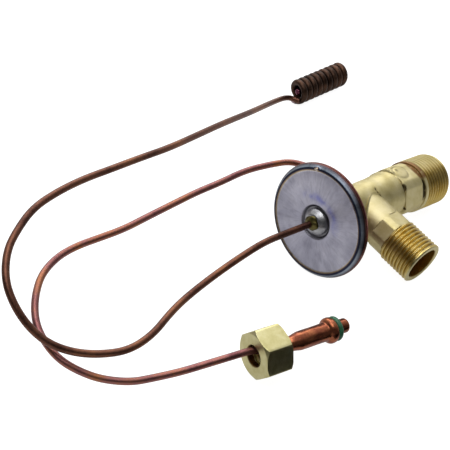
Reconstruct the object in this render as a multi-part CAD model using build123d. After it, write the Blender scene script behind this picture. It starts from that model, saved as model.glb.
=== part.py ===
from build123d import *
import os
from math import cos, pi, radians, sin, sqrt, tan

# Thermostatic expansion valve, angle pattern, with an external equaliser tube. Millimetres.
# The valve is built in its own frame: the main axis is X, measured from the rim plane of the
# power element, the inlet branch points to -Y and the equaliser socket to +Y.
# It is then laid on the floor, where it rests on the power element's rim and on both ports.

# Clearances
seat_gap = 0.02  # fixed piece in its seat, on the radius or between faces
slip = 0.05  # running fit, on the radius

# Power element
rim_r = 20.0
sheet = 0.8  # cover sheet thickness
flange_w = 1.4
dish_x = -2.05  # outer face of the dish beside the crater
dish_rim_x = -1.55  # outer face of the dish beside the rim
bead_h = 0.3  # raised bead inside the rim
crater_r = 6.1
crater_depth = 1.05
cone_depth = 4.6  # how far the lower cover reaches back from the rim plane
socket_r = 7.9
socket_l = 3.8
diaphragm_t = 0.2
pad_r = 5.6
pad_t = 1.2

# Body
spigot_r = 6.6
spigot_x = 2.9  # face of the spigot below the diaphragm pad
neck_r = 7.75
neck_end = 23.4
barrel_r = 7.95
barrel_end_r = 8.6  # where it has swollen to the hexagon's flats
hex_start = 37.3
hex_end = 47.4
hex_af = 17.6
relief_r = 8.7
relief_w = 1.2
collar_r = 9.5
collar_w = 1.6
runout_r = 8.6  # groove between the collar and the thread
runout_w = 0.7
outlet_r = 9.525  # 3/4 inch thread, outside
outlet_thread_l = 13.6
port_chamfer = 0.85
branch_x = 21.9
branch_r = 7.3
branch_hex_start = 12.2
branch_hex_af = 14.0
branch_hex_end = 18.0
inlet_r = 7.9375  # 5/8 inch thread, outside
inlet_thread_l = 12.9
corner_clip = 1.07  # hexagon corners are turned down to this share of half its width

# Passages
inlet_mouth_r = 6.1
inlet_mouth_l = 6.0
inlet_bore_r = 4.9
inlet_bore_end = 3.0  # past the main axis
outlet_mouth_r = 7.3
outlet_mouth_l = 6.8
spring_bore_r = 6.2
orifice_r = 1.6
seat_r = 4.2
seat_l = 3.2
seat_x = 30.0
chamber_r = 3.2
chamber_start = 17.0
rod_r = 1.5
rod_tip_r = 0.75
gland_r = 3.0
gland_end = 7.9
ball_r = 2.2
spring_wire_r = 0.5
spring_r = 4.0
spring_turns = 5.5
carrier_flange = 1.0
carrier_r = 4.9
nut_x = 51.0
adjuster_l = 5.0
adjuster_key = 4.0
adjuster_slots = 4
adjuster_slot_w = 2.0

# Inlet strainer
strainer_r = 3.6
strainer_seat = 22.0  # from the main axis
strainer_ring_l = 1.6
strainer_depth = 8.0
strainer_wall = 0.3

# Capillary boss on the power element
boss_r = 4.7
boss_mouth_r = 2.7
boss_x = -3.9

# Tubes
capillary_r = 1.1
equaliser_r = 1.075
equaliser_x = 19.5
drill_r = 0.7
drill_y = 5.0
braze_l = 1.2
braze_w = 0.9

# Sensing bulb, a close coil of thicker tube
bulb_tube_r = 1.5875  # 1/8 inch tube
bulb_mean_r = 4.07
bulb_pitch = 3.23
bulb_turns = 8.7
bulb_near = (83.2, 84.1)  # centre of the first turn, over the floor
bulb_yaw = 1.9
bulb_start = -93.0  # angle where the first turn begins
bulb_collar_l = 3.2
bulb_tail_start = 0.9  # from the plane of the first turn

# Equaliser end fitting, lengths from the nut's front face
fitting_front = (-56.0, -24.15, 9.2)
fitting_yaw = -11.1
fitting_pitch = -6.0
fitting_r = 3.0
fitting_neck_r = 1.75
fitting_neck_start = 6.0
fitting_neck_end = 12.4
fitting_full = 16.9
fitting_bead = 25.6
fitting_bead_l = 4.6
fitting_bead_r = 4.2
pilot_r = 2.35
groove_r = 2.1  # O-ring groove behind the bead
pilot_end = 35.8
oring_wire_r = 0.95
hex_nut_af = 14.2875  # 9/16 inch
hex_nut_l = 9.6
hex_nut_face = 2.0
hex_nut_hole_r = 3.35
hex_nut_thread_r = 4.95
hex_nut_turn = 13.0
tube_offset = (0.8, 1.8)  # where the equaliser tube lies in the nut's hole

# Routes of the two tubes over the floor, between their ends
footprint = (-2.02, -28.38)  # puts the middle of the whole object over the origin
capillary_route = [
    (-31.0, 1.0, 23.0), (-57.0, 2.5, 19.0), (-83.5, -5.5, 18.0), (-95.0, -1.5, 19.0),
    (-104.5, 4.0, 23.0), (-109.5, 11.0, 28.5), (-110.5, 19.0, 37.0), (-106.5, 26.0, 42.5),
    (-98.0, 32.0, 46.5), (-81.5, 38.5, 48.0), (-52.0, 41.0, 45.0), (-25.0, 44.5, 39.0),
    (7.0, 55.0, 31.0), (33.0, 65.0, 22.0), (67.5, 82.2, 7.4), (76.8, 85.6, 4.3),
    (80.0, 84.6, 3.3), (80.9, 81.0, 3.0),
]
equaliser_route = [
    (14.5, 27.0, 25.0), (-2.5, 32.5, 26.0), (-40.5, 30.5, 29.0), (-61.5, 29.0, 30.0),
    (-83.5, 34.0, 30.0), (-100.5, 24.0, 28.0), (-107.5, 7.0, 20.5), (-96.0, -7.5, 11.5),
    (-78.0, -15.0, 10.5),
]

outlet_end = hex_end + relief_w + collar_w + outlet_thread_l
inlet_end = branch_hex_end + inlet_thread_l
ball_x = seat_x + seat_l + sqrt(ball_r**2 - orifice_r**2) + 0.1
rim_x = diaphragm_t / 2 + seat_gap
pad_x = rim_x
carrier_x = ball_x + ball_r * 0.75  # near face of the ball carrier's flange


def turned(*points):
    """Solid of revolution about X from an outline of (x, radius) points."""
    return revolve(make_face(Polyline(*points, close=True)), Axis.X)


def rod(x_from, x_to, radius):
    """Plain round bar along X."""
    return turned((x_from, 0), (x_from, radius), (x_to, radius), (x_to, 0))


def ring(x_from, x_to, inner, outer):
    """Plain ring about X."""
    return turned((x_from, inner), (x_from, outer), (x_to, outer), (x_to, inner))


def hex_bar(x_from, x_to, across_flats, turn=0.0):
    """Hexagonal bar along X with its corners turned down."""
    outline = Plane.YZ.offset(x_from) * Rot(0, 0, turn) * RegularPolygon(across_flats / sqrt(3), 6)
    bar = extrude(outline, x_to - x_from)
    return bar & rod(x_from, x_to, across_flats / 2 * corner_clip)


def resting_up():
    """Up direction in the valve's frame, and the rim's height, when rim and ports touch the floor."""
    side = inlet_end - port_chamfer
    reach = outlet_end - port_chamfer
    down_x, down_y = 0.0, 0.0
    for _ in range(40):
        round_x = sqrt(1 - down_x**2)
        round_y = sqrt(1 - down_y**2)
        rim = rim_x * down_x + rim_r * round_x
        down_x = (rim_r - outlet_r) * round_x / (reach - rim_x)
        down_y = (inlet_r * round_y + branch_x * down_x - rim) / side
    return Vector(-down_x, -down_y, sqrt(1 - down_x**2 - down_y**2)), rim


up, rim_height = resting_up()
level = sqrt(1 - up.X**2)
lying = Location(Plane(
    origin=(footprint[0], footprint[1], rim_height),
    x_dir=(level, 0, up.X),
    z_dir=(-up.X * up.Z / level, -up.Y / level, up.Z),
))
branch = Pos(branch_x, 0, 0) * Rot(0, 0, -90)  # its X runs out along the inlet branch


def moved(route):
    """Route of a tube in the object's own frame."""
    return [(x + footprint[0], y + footprint[1], z) for x, y, z in route]


def on_floor(x, y, z):
    """Point of the valve's frame, seen in the floor's frame."""
    return (lying * Location((x, y, z))).position


def valve_body():
    """Forged and machined angle body with its passages."""
    collar_start = hex_end + relief_w
    thread_start = collar_start + collar_w
    main = turned(
        (spigot_x, 0), (spigot_x, spigot_r), (cone_depth + socket_l + seat_gap, spigot_r),
        (cone_depth + socket_l + seat_gap, neck_r), (neck_end, neck_r),
        (neck_end + 0.4, barrel_r), (hex_start - 9.0, barrel_r), (hex_start, barrel_end_r),
        (hex_end, barrel_end_r), (hex_end, relief_r), (collar_start, relief_r),
        (collar_start, collar_r), (thread_start, collar_r), (thread_start, runout_r),
        (thread_start + runout_w, runout_r), (thread_start + runout_w, outlet_r),
        (outlet_end - port_chamfer, outlet_r),
        (outlet_end, outlet_r - port_chamfer), (outlet_end, 0),
    )
    clip = hex_af / 2 * corner_clip
    shoulder = turned(
        (hex_start - 0.6, 0), (hex_start - 0.6, barrel_end_r - 0.3), (hex_start + 0.4, clip),
        (hex_end, clip), (hex_end, 0),
    )
    main += hex_bar(hex_start - 0.6, hex_end, hex_af) & shoulder
    side = turned(
        (0, 0), (0, branch_r), (branch_hex_start, branch_r), (branch_hex_start, branch_hex_af / 2.1),
        (branch_hex_end, branch_hex_af / 2.1), (branch_hex_end, inlet_r),
        (inlet_end - port_chamfer, inlet_r),
        (inlet_end, inlet_r - port_chamfer), (inlet_end, 0),
    )
    side += hex_bar(branch_hex_start, branch_hex_end, branch_hex_af)
    body = main + branch * side

    body -= rod(spigot_x, gland_end, gland_r)
    body -= rod(gland_end, chamber_start, rod_r + slip)
    body -= rod(chamber_start, seat_x, chamber_r)
    body -= rod(seat_x, seat_x + seat_l, seat_r + seat_gap)
    body -= rod(seat_x + seat_l, outlet_end, spring_bore_r)
    body -= turned(
        (outlet_end - outlet_mouth_l - 1.1, 0), (outlet_end - outlet_mouth_l - 1.1, spring_bore_r),
        (outlet_end - outlet_mouth_l, outlet_mouth_r), (outlet_end, outlet_mouth_r),
        (outlet_end, 0),
    )
    mouth = inlet_end - inlet_mouth_l
    body -= branch * turned(
        (-inlet_bore_end, 0), (-inlet_bore_end, inlet_bore_r), (mouth - 1.2, inlet_bore_r),
        (mouth, inlet_mouth_r), (inlet_end, inlet_mouth_r), (inlet_end, 0),
    )
    body -= Pos(0, drill_y, 0) * rod(spigot_x, equaliser_x + drill_r, drill_r)
    socket = Pos(equaliser_x, 0, 0) * Rot(0, 0, 90)
    body -= socket * rod(drill_y, neck_r, drill_r)
    body -= socket * rod(drill_y + 1.2, neck_r + 1, equaliser_r + seat_gap)
    return body


def upper_cover():
    """Pressed outer cover: dished, with a bead inside the rim and a crater for the boss."""
    floor_x = dish_x + crater_depth
    half = rim_x
    return turned(
        (floor_x, boss_mouth_r), (floor_x, crater_r - 0.8), (dish_x, crater_r),
        (dish_rim_x, rim_r - 2.5), (dish_rim_x - bead_h, rim_r - 2.1),
        (dish_rim_x - bead_h, rim_r - 1.5), (-half - 0.75, rim_r - 0.35), (-half, rim_r),
        (-half, rim_r - flange_w), (dish_rim_x + sheet, rim_r - 2.4),
        (dish_x + sheet, crater_r + 0.4), (floor_x + sheet, crater_r - 0.3),
        (floor_x + sheet, boss_mouth_r),
    )


def lower_cover():
    """Pressed inner cover with the socket that holds the body."""
    half = rim_x
    return turned(
        (half, rim_r), (half + 0.9, rim_r - 0.15), (half + 1.5, rim_r - 1.2),
        (cone_depth, socket_r + 2.4), (cone_depth + 0.5, socket_r),
        (cone_depth + socket_l, socket_r), (cone_depth + socket_l, spigot_r + seat_gap),
        (cone_depth - sheet, spigot_r + seat_gap), (cone_depth - sheet, socket_r + 1.9),
        (half + 0.6, rim_r - flange_w - 0.5), (half, rim_r - flange_w),
    )


def diaphragm():
    """Thin corrugated disc clamped between the covers."""
    half = diaphragm_t / 2
    waves = [(rim_r - flange_w - 0.2, 0.0)]
    for k in range(3):
        crest = rim_r - flange_w - 1.8 - 2.6 * k
        waves += [(crest, 0.22), (crest - 1.3, -0.22)]
    waves += [(pad_r + 1.0, 0.0)]
    near = [(x - half, r) for r, x in reversed(waves)]
    far = [(x + half, r) for r, x in waves]
    edge = rim_r - 0.4
    return turned((-half, 0), *near, (-half, edge), (half, edge), *far, (half, 0))


def diaphragm_pad():
    """Buffer plate that carries the diaphragm's force to the push rod."""
    return turned((pad_x, 0), (pad_x, pad_r - 0.3), (pad_x + 0.3, pad_r), (pad_x + pad_t, pad_r),
                  (pad_x + pad_t, 0))


def capillary_boss():
    """Turned boss brazed into the crater, with the capillary's hole."""
    floor_x = dish_x + crater_depth
    hole = capillary_r + seat_gap
    return turned(
        (floor_x - seat_gap, hole), (floor_x - seat_gap, boss_r), (-2.0, boss_r),
        (-2.9, boss_r - 0.7), (boss_x + 0.2, boss_mouth_r + 0.5), (boss_x, boss_mouth_r),
        (boss_x, hole),
    )


def capillary_braze():
    """Fillet of filler metal round the capillary at the boss's mouth."""
    inner = capillary_r + seat_gap
    return turned(
        (boss_x - seat_gap, inner), (boss_x - seat_gap, boss_mouth_r - 0.1),
        (boss_x - 0.5, boss_mouth_r - 0.5), (boss_x - 1.1, inner + 0.45), (boss_x - 1.5, inner),
    )


def push_rod():
    """Stem from the diaphragm pad to the ball."""
    start = pad_x + pad_t + seat_gap
    shoulder = seat_x - 4.5
    return turned(
        (start, 0), (start, rod_r), (shoulder, rod_r), (shoulder + 1.2, rod_tip_r),
        (ball_x - ball_r - seat_gap, rod_tip_r), (ball_x - ball_r - seat_gap, 0),
    )


def seal_ring(x, radius, wire):
    """O-ring about X, with an eight-sided section."""
    reach = wire * tan(radians(22.5))
    corners = [(wire, reach), (reach, wire), (-reach, wire), (-wire, reach),
               (-wire, -reach), (-reach, -wire), (reach, -wire), (wire, -reach)]
    return turned(*[(x + dx, radius + dr) for dx, dr in corners])


def push_rod_seal():
    """O-ring in the gland round the push rod."""
    wire = (gland_r - rod_r - slip) / 2 - seat_gap / 2
    return seal_ring(gland_end - wire - seat_gap, rod_r + slip + wire, wire)


def seal_retainer():
    """Pressed bush that keeps the O-ring in its gland."""
    wire = (gland_r - rod_r - slip) / 2 - seat_gap / 2
    start = spigot_x + 0.4
    return ring(start, gland_end - 2 * wire - 2 * seat_gap, rod_r + 2 * slip, gland_r - seat_gap)


def orifice_seat():
    """Pressed seat ring that the ball closes."""
    end = seat_x + seat_l
    return turned((seat_x + seat_gap, orifice_r), (seat_x + seat_gap, seat_r), (end, seat_r),
                  (end, orifice_r))


def valve_ball():
    return Pos(ball_x, 0, 0) * Sphere(ball_r)


def ball_carrier():
    """Cup under the ball, with a flange for the spring and a spigot inside it."""
    apex = ball_x + (ball_r + seat_gap) / sin(radians(60))
    face = carrier_x - 0.6
    flange_end = carrier_x + carrier_flange
    return turned(
        (apex, 0), (face, (apex - face) * tan(radians(60))), (face, spring_r - 0.9),
        (carrier_x, spring_r - 0.9), (carrier_x, carrier_r), (flange_end, carrier_r),
        (flange_end, spring_r - spring_wire_r - 0.25),
        (flange_end + 3.0, spring_r - spring_wire_r - 0.6), (flange_end + 3.0, 0),
    )


def superheat_spring():
    """Closing spring between the carrier and the adjusting nut."""
    start = carrier_x + carrier_flange + spring_wire_r + seat_gap
    end = nut_x - spring_wire_r - seat_gap
    path = Helix((end - start) / spring_turns, end - start, spring_r)
    path = Plane(origin=(start, 0, 0), x_dir=(0, 1, 0), z_dir=(1, 0, 0)).location * path
    section = Plane(origin=path @ 0, z_dir=path % 0) * Rectangle(2 * spring_wire_r, 2 * spring_wire_r)
    return sweep(section, path, is_frenet=True)


def adjusting_nut():
    """Spring seat screwed into the outlet: a key hole in the middle and slots round the edge."""
    outer = spring_bore_r - seat_gap
    nut = rod(nut_x, nut_x + adjuster_l, outer)
    key = Plane.YZ.offset(nut_x) * RegularPolygon(adjuster_key / sqrt(3), 6)
    nut -= extrude(key, adjuster_l)
    slot_depth = outer - spring_r - spring_wire_r - 0.3
    for k in range(adjuster_slots):
        slot = Box(adjuster_l, 2 * slot_depth, adjuster_slot_w)
        nut -= Rot(360 / adjuster_slots * (k + 0.5), 0, 0) * Pos(
            nut_x + adjuster_l / 2, outer, 0) * slot
    return nut


def strainer_ring():
    """Brass ring that holds the strainer in the inlet."""
    return branch * ring(strainer_seat - strainer_ring_l, strainer_seat,
                         strainer_r - 0.6, inlet_bore_r - seat_gap)


def strainer_screen():
    """Thimble of fine mesh, open to the inlet."""
    mouth = strainer_seat - strainer_ring_l - seat_gap
    tip = mouth - strainer_depth
    wall = strainer_wall
    return branch * turned(
        (mouth, strainer_r), (tip + 1.5, strainer_r - 0.5), (tip, strainer_r - 1.8), (tip, 0),
        (tip + wall, 0), (tip + wall, strainer_r - 1.8 - wall / 2),
        (tip + 1.5 + wall / 2, strainer_r - 0.5 - wall), (mouth, strainer_r - wall),
    )


def bend_radii(points):
    """Largest radius at each corner that leaves a tenth of its runs straight."""
    runs = [(b - a) for a, b in zip(points, points[1:])]
    radii = []
    for before, after in zip(runs, runs[1:]):
        turn = radians(before.get_angle(after))
        radii.append(0.45 * min(before.length, after.length) / tan(turn / 2))
    return radii


def bent_tube(points, radius):
    """Round tube along straight runs joined by tangent arcs."""
    points = [Vector(*p) for p in points]
    path = FilletPolyline(*points, radius=bend_radii(points))
    face = Plane(origin=points[0], z_dir=points[1] - points[0]) * Circle(radius)
    return sweep(face, path)


bulb_x = Vector(cos(radians(bulb_yaw)), sin(radians(bulb_yaw)), 0)
bulb_centre = Vector(*moved([(*bulb_near, bulb_mean_r + bulb_tube_r)])[0])
bulb_place = Location(Plane(origin=bulb_centre, x_dir=bulb_x, z_dir=(0, 0, 1)))


def bulb_point(turns):
    """Point on the middle line of the bulb's coil, in its own frame with X along the coil."""
    angle = radians(bulb_start) - 2 * pi * turns
    return Vector(bulb_pitch * turns, bulb_mean_r * cos(angle), bulb_mean_r * sin(angle))


def bulb_direction(turns):
    """Direction in which the coil's tube runs there."""
    angle = radians(bulb_start) - 2 * pi * turns
    step = Vector(bulb_pitch / (2 * pi), bulb_mean_r * sin(angle), -bulb_mean_r * cos(angle))
    return step.normalized()


def sensing_bulb():
    """Close coil of tube with flat ends."""
    start = Location(Plane(origin=(0, 0, 0), x_dir=(0, *tuple(bulb_point(0))[1:]), z_dir=(1, 0, 0)))
    coil = start * Helix(bulb_pitch, bulb_pitch * bulb_turns, bulb_mean_r, lefthand=True)
    section = Plane(origin=coil @ 0, z_dir=coil % 0) * Circle(bulb_tube_r)
    return bulb_place * sweep(section, coil, is_frenet=True)


def bulb_tail():
    """Closed end of the bulb's tube, turned back through the middle of the coil."""
    last = bulb_point(bulb_turns)
    start = last + bulb_direction(bulb_turns) * (bulb_tube_r + 0.25)
    start = Vector(last.X - bulb_tube_r + 0.35, start.Y, start.Z)
    out = sqrt(start.Y**2 + start.Z**2)
    bend_x = last.X + 0.3
    side = Location(Plane(origin=(0, 0, 0), x_dir=(1, 0, 0),
                          z_dir=Vector(1, 0, 0).cross(Vector(0, start.Y, start.Z))))
    path = Line((start.X, out), (bend_x, out))
    path += CenterArc((bend_x, out / 2), out / 2, 90, -180)
    path += Line((bend_x, 0), (bulb_tail_start + 1.3, 0))
    path = side * path
    tube = sweep(Plane(origin=start, z_dir=(1, 0, 0)) * Circle(bulb_tube_r), path)
    tip = turned((bulb_tail_start, 0), (bulb_tail_start, 0.7), (bulb_tail_start + 0.4, 1.25),
                 (bulb_tail_start + 1.3, bulb_tube_r), (bulb_tail_start + 1.3, 0))
    return bulb_place * (tube + tip)


def bulb_collar():
    """Pinched and brazed start of the bulb's tube."""
    along = -1 * bulb_direction(0)
    place = Location(Plane(origin=bulb_point(0), z_dir=along, x_dir=(1, 0, 0)))
    outline = Polyline((0, seat_gap), (bulb_tube_r - 0.05, seat_gap),
                       (bulb_tube_r - 0.15, bulb_collar_l * 0.5),
                       (bulb_tube_r * 0.55, bulb_collar_l), (0, bulb_collar_l), close=True)
    return bulb_place * place * revolve(Plane.XZ * make_face(outline), Axis.Z)


def capillary_points():
    """From the boss round the large loop, down beside the first turn of the bulb."""
    first = on_floor(boss_x + 2.0, 0, 0)
    second = on_floor(boss_x - 12.0, 0, 0)
    return [first, second, *moved(capillary_route)]


fitting_x = Vector(
    cos(radians(fitting_yaw)) * cos(radians(fitting_pitch)),
    sin(radians(fitting_yaw)) * cos(radians(fitting_pitch)),
    sin(radians(fitting_pitch)),
)
fitting_y = Vector(-sin(radians(fitting_yaw)), cos(radians(fitting_yaw)), 0)
fitting_z = fitting_x.cross(fitting_y)
fitting_place = Location(Plane(
    origin=moved([fitting_front])[0], x_dir=fitting_x, z_dir=fitting_z))


def in_fitting(x, y, z):
    return (fitting_place * Location((x, y, z))).position


def equaliser_points():
    """From the socket in the neck round the smaller loop into the fitting's neck."""
    side, height = tube_offset
    start = on_floor(equaliser_x, drill_y + 1.2 + seat_gap, 0)
    second = on_floor(equaliser_x, 20.5, 0)
    hole = in_fitting(1.0, side, height)
    inside = in_fitting(fitting_neck_start - 2.0, 0, 0)
    end = in_fitting(fitting_neck_start + 3.0, 0, 0)
    return [start, second, *moved(equaliser_route), hole, inside, end]


def equaliser_braze():
    """Braze collar round the equaliser tube at the body."""
    inner = equaliser_r + seat_gap
    foot = neck_r + seat_gap
    collar = turned((foot, inner), (foot, inner + braze_w), (foot + 0.4, inner + braze_w * 0.8),
                    (foot + braze_l, inner + 0.1), (foot + braze_l, inner))
    return lying * Pos(equaliser_x, 0, 0) * Rot(0, 0, 90) * collar


def equaliser_fitting():
    """Tube end with a swaged neck, a rolled bead, an O-ring groove and a pilot."""
    bead_end = fitting_bead + fitting_bead_l
    groove_end = bead_end + 2 * oring_wire_r + 3 * seat_gap
    neck_bore = equaliser_r + seat_gap
    bore = pilot_r - 0.8
    fitting = turned(
        (fitting_neck_start, neck_bore), (fitting_neck_start, fitting_neck_r),
        (fitting_neck_end, fitting_neck_r + 0.1), (fitting_neck_end + 1.4, fitting_neck_r + 0.6),
        (fitting_full - 1.2, fitting_r - 0.25), (fitting_full, fitting_r),
        (fitting_bead, fitting_r), (fitting_bead + 0.9, fitting_bead_r - 0.35),
        (fitting_bead + 1.6, fitting_bead_r), (fitting_bead + 3.4, fitting_bead_r),
        (bead_end, fitting_bead_r - 0.5), (bead_end, groove_r), (groove_end, groove_r),
        (groove_end, pilot_r), (pilot_end - 0.5, pilot_r), (pilot_end, pilot_r - 0.4),
        (pilot_end, bore),
        (fitting_full, bore), (fitting_neck_end, neck_bore - 0.3),
        (fitting_neck_start + 3.2, neck_bore - 0.3), (fitting_neck_start + 3.2, neck_bore),
    )
    return fitting_place * fitting


def equaliser_oring():
    """Seal behind the bead."""
    x = fitting_bead + fitting_bead_l + oring_wire_r + seat_gap
    return fitting_place * seal_ring(x, groove_r + oring_wire_r + seat_gap, oring_wire_r)


def equaliser_nut():
    """Union nut that slides and turns on the fitting."""
    bar = hex_bar(0, hex_nut_l, hex_nut_af, hex_nut_turn)
    clip = hex_nut_af / sqrt(3)
    bar &= turned((0, 0), (0, clip - 1.1), (0.8, clip), (hex_nut_l - 0.5, clip),
                  (hex_nut_l, clip - 0.8), (hex_nut_l, 0))
    bar -= rod(0, hex_nut_face, hex_nut_hole_r)
    bar -= rod(hex_nut_face, hex_nut_l, hex_nut_thread_r)
    bar -= turned((hex_nut_l - 0.8, 0), (hex_nut_l - 0.8, hex_nut_thread_r),
                  (hex_nut_l, hex_nut_thread_r + 0.8), (hex_nut_l, 0))
    return fitting_place * bar


os.makedirs("parts", exist_ok=True)

valve_pieces = [
    valve_body, upper_cover, lower_cover, diaphragm, diaphragm_pad, capillary_boss,
    capillary_braze, push_rod, push_rod_seal, seal_retainer, orifice_seat, valve_ball,
    ball_carrier, superheat_spring, adjusting_nut, strainer_ring, strainer_screen,
]
line_pieces = [
    sensing_bulb, bulb_tail, bulb_collar, equaliser_braze, equaliser_fitting, equaliser_oring,
    equaliser_nut,
]
pieces = {piece.__name__: lying * piece() for piece in valve_pieces}
pieces.update({piece.__name__: piece() for piece in line_pieces})
pieces["capillary_tube"] = bent_tube(capillary_points(), capillary_r)
pieces["equaliser_tube"] = bent_tube(equaliser_points(), equaliser_r)

for name, piece in pieces.items():
    export_step(piece.solids()[0], f"parts/{name}.step")
print(len(pieces), "pieces built")
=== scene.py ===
import math
import bpy
import bmesh
import numpy as np
from mathutils import Matrix, Vector


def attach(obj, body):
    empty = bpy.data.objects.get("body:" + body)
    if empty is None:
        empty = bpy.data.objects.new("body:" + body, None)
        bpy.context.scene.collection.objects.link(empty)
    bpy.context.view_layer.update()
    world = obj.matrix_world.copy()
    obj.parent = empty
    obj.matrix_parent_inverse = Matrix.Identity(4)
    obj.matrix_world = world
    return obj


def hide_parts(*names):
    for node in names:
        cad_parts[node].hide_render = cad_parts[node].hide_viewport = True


# Brass expansion valve with its sensing coil and equaliser tube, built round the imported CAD.
# Working lengths are millimetres; toRow turns them into the row's metres.

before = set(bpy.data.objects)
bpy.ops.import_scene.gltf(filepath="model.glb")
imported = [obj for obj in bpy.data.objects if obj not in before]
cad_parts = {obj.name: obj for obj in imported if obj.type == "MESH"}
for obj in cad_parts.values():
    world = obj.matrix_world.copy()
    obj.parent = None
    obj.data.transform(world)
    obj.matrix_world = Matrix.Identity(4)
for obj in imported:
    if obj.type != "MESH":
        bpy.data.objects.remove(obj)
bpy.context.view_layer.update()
print("frame loaded:", len(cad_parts), "nodes")


# Places: each is an origin in mm and three unit axes as rows.
def makePlace(origin, xAxis, zAxis):
    # z is squared up against x, and y = z cross x
    x = np.array(xAxis, float) / np.linalg.norm(xAxis)
    z = np.array(zAxis, float) - np.dot(zAxis, x) * x
    z = z / np.linalg.norm(z)
    return np.array(origin, float), np.array([x, np.cross(z, x), z])


def toRow(points, place):  # origin + x X + y Y + z Z, then mm to m
    origin, axes = place
    return (origin + points @ axes) / 1000


def heading(yaw, pitch):  # unit vector from a heading and a rise, in degrees
    yaw, pitch = math.radians(yaw), math.radians(pitch)
    return np.array([math.cos(yaw) * math.cos(pitch), math.sin(yaw) * math.cos(pitch), math.sin(pitch)])


valvePlace = makePlace((-2.02, -28.38, 19.7474), (0.986385, 0, -0.16445), (0.157484, -0.287962, 0.944604))
branchAt = 21.9  # where the branch's axis crosses the barrel's
branchPlace = (valvePlace[0] + branchAt * valvePlace[1][0], valvePlace[1][[1, 0, 2]] * [[-1], [1], [1]])
fittingPlace = makePlace((-58.02, -52.53, 9.2), heading(-11.1, -6.0), (0, 0, 1))
bulbPlace = makePlace((80.3, 55.72, 5.4), heading(-2.7, 0), (0, 0, 1))
rowPlace = (np.zeros(3), np.eye(3))


# Surfaces, as grids of points or profiles of (x, radius).
def softCorners(profile, reach=0.3, closed=False, steps=5):
    # each corner becomes a parabola: start (1 - t) squared + corner 2 t (1 - t) + end t squared
    profile = np.array(profile, float)
    before, after = np.roll(profile, 1, 0), np.roll(profile, -1, 0)
    back, ahead = before - profile, after - profile
    backRun, aheadRun = np.linalg.norm(back, axis=1), np.linalg.norm(ahead, axis=1)
    cut = np.minimum(np.minimum(backRun, aheadRun) * 0.46, reach)  # under half, so two corners never meet
    start = profile + back * (cut / backRun)[:, None]
    end = profile + ahead * (cut / aheadRun)[:, None]
    t = np.linspace(0, 1, steps)[None, :, None]
    arcs = start[:, None] * (1 - t) ** 2 + profile[:, None] * 2 * t * (1 - t) + end[:, None] * t ** 2
    if closed:
        return arcs.reshape(-1, 2)
    return np.vstack([profile[:1], arcs[1:-1].reshape(-1, 2), profile[-1:]])


def denser(profile, step):
    # the same profile with no run longer than the step: each run gets its length / step, rounded up, shares
    profile = np.array(profile, float)
    runs = np.linalg.norm(np.diff(profile, axis=0), axis=1)
    shares = np.maximum(1, np.ceil(runs / step)).astype(int)
    firsts = np.repeat(np.cumsum(shares) - shares, shares)
    within = (np.arange(shares.sum()) - firsts) / np.repeat(shares, shares)
    at = np.append(np.repeat(np.arange(len(runs)), shares) + within, len(runs))
    return np.stack([np.interp(at, np.arange(len(profile)), profile[:, k]) for k in (0, 1)], -1)


def around(profile, columns, turn=0.0):
    # x, radius and angle of every point when a profile of (x, radius) goes round the x axis
    profile = np.array(profile, float)
    t = np.linspace(0, 2 * np.pi, columns, endpoint=False)[None, :] + math.radians(turn)
    return profile[:, :1] + 0 * t, profile[:, 1:2] + 0 * t, t + 0 * profile[:, :1]


def swept(x, r, t):  # the angle starts at -y and runs over +z
    return np.stack([x, -r * np.cos(t), r * np.sin(t)], -1)


def ease(low, high, x):  # smooth step: 3 t squared - 2 t cubed, t from 0 at low to 1 at high
    t = np.clip((x - low) / (high - low), 0, 1)
    return t * t * (3 - 2 * t)


def window(x, rise, fall):
    # 0, then 1 from the end of the rise to the start of the fall, then 0: each is a (start, end) pair
    return ease(*rise, x) * (1 - ease(*fall, x))


def hexagon(t, flats, corner):
    # half the width over the cosine of the angle from the middle of the side, cut at the corner's radius
    return np.minimum(flats / 2 / np.cos(t % (np.pi / 3) - np.pi / 6), corner)


def threadShare(x, t, pitch):
    # 0 on the crest and 1 in the root: a triangle wave of x / pitch + t / 2 pi with both tips rounded
    wave = np.abs((x / pitch + t / (2 * np.pi)) % 1 - 0.5) * 2
    return ease(0.08, 0.86, wave)


def mound(x, t, at, size, power=2.0):
    # 1 in the middle of an ellipse on the surface and 0 outside it, flatter for a higher power
    turned = (np.degrees(t) - at[1] + 180) % 360 - 180
    far = np.sqrt(((x - at[0]) / size[0]) ** 2 + turned ** 2 / size[1] ** 2)
    return 1 - ease(0, 1, far ** power)


# Meshes.
weldGap = 0.000001  # metres, under which two points are one


def gridFaces(shape, closeRows, first):
    # quads between each row and the next, and round from the last column to the first:
    # the point in row i and column j is number first + i columns + j
    rows, columns = shape
    i = np.arange(rows if closeRows else rows - 1)[:, None]
    j = np.arange(columns)[None, :]
    row, nextRow, side = i * columns, (i + 1) % rows * columns, (j + 1) % columns
    return np.stack([row + j, row + side, nextRow + side, nextRow + j], -1).reshape(-1, 4) + first


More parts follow.
